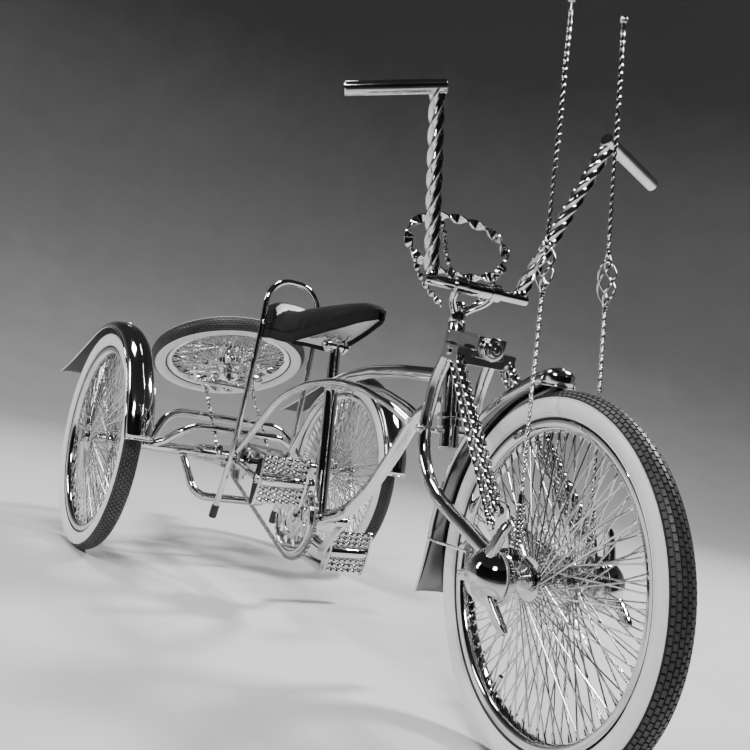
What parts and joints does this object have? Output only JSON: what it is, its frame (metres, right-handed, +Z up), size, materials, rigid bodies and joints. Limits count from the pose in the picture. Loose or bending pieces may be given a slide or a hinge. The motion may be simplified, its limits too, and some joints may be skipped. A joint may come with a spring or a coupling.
{
  "type": "chopper tricycle",
  "caption": "Pedal tricycle in chopper style: bent springer fork, tall handlebar, banana seat, loop rear frame, rear axle kit with fenders and a tilted spare wheel",
  "frame": {"origin": "on the floor under the middle of the overall length and width", "axes": "+X ahead, +Y to the rider's left, +Z up; the front end stands turned 10.2 degrees to the right"},
  "size_m": [1.7692, 0.7412, 1.0585],
  "materials": {
    "chrome": "polished chrome plate",
    "tyre": "black rubber with white sidewalls",
    "seat_cover": "crushed velour",
    "chain_steel": "oiled steel"
  },
  "bodies": {
    "frame": {"head_tube": "chrome", "top_tube": "chrome", "down_tube": "chrome", "seat_tube": "chrome", "rear_tubes": "chrome", "chainstays": "chrome", "seat_post": "chrome", "seat": "seat_cover", "sissy_bar": "chrome", "axle_carrier": "chrome", "axle_housing": "chrome", "rack_rear_hoop": "chrome", "rack_front_hoop": "chrome", "lower_hoop": "chrome", "rear_fenders": "chrome", "fender_braces": "chrome", "spare_carrier": "chrome", "spare_axle": "chrome", "spare_tyre": "tyre", "spare_wheel": "chrome", "drive_chain": "chain_steel", "axle_chain": "chain_steel", "jack_axle": "chrome"},
    "fork": {"steerer": "chrome", "fork_legs": "chrome", "fork_crown": "chrome", "springer_yoke": "chrome", "springer_bars": "chrome", "rockers": "chrome", "front_axle": "chrome", "spinner_caps": "chrome", "front_fender": "chrome", "fender_stay": "chrome", "stem": "chrome", "crossbar": "chrome", "bar_uprights": "chrome", "grips": "chrome", "ring_ornament": "chrome", "antennas": "chrome"},
    "front_wheel": {"front_tyre": "tyre", "front_wheel": "chrome"},
    "rear_axle": {"axle_shaft": "chrome", "rear_right_tyre": "tyre", "rear_right_wheel": "chrome"},
    "rear_left": {"rear_left_tyre": "tyre", "rear_left_wheel": "chrome"},
    "jackshaft": {"jackshaft": "chrome"},
    "crank": {"crank": "chrome", "chainring": "chrome"},
    "pedal_right": {"pedal_right": "chrome"},
    "pedal_left": {"pedal_left": "chrome"}
  },
  "joints": [
    {"name": "steering", "type": "hinge", "parent": "frame", "child": "fork", "pos_m": [0.34514, 0, 0.2527], "axis": [-0.1771, 0, 0.9842], "range_deg": [-30, 50]},
    {"name": "front_wheel_spin", "type": "hinge", "parent": "fork", "child": "front_wheel", "pos_m": [0.63614, -0.05135, 0.25189], "axis": [0.1738, 0.9843, 0.0313], "continuous": true},
    {"name": "rear_axle_spin", "type": "hinge", "parent": "frame", "child": "rear_axle", "pos_m": [-0.53436, 0, 0.252], "axis": [0, 1, 0], "continuous": true},
    {"name": "rear_left_spin", "type": "hinge", "parent": "frame", "child": "rear_left", "pos_m": [-0.53436, 0.326, 0.252], "axis": [0, 1, 0], "continuous": true},
    {"name": "jackshaft_spin", "type": "hinge", "parent": "frame", "child": "jackshaft", "pos_m": [-0.36236, 0, 0.258], "axis": [0, 1, 0], "continuous": true},
    {"name": "crank_spin", "type": "hinge", "parent": "frame", "child": "crank", "pos_m": [-0.05836, 0, 0.191], "axis": [0, 1, 0], "continuous": true},
    {"name": "pedal_right_spin", "type": "hinge", "parent": "crank", "child": "pedal_right", "pos_m": [0.00463, -0.13, 0.26607], "axis": [0, 1, 0], "continuous": true},
    {"name": "pedal_left_spin", "type": "hinge", "parent": "crank", "child": "pedal_left", "pos_m": [-0.12136, 0.13, 0.11593], "axis": [0, 1, 0], "continuous": true}
  ]
}
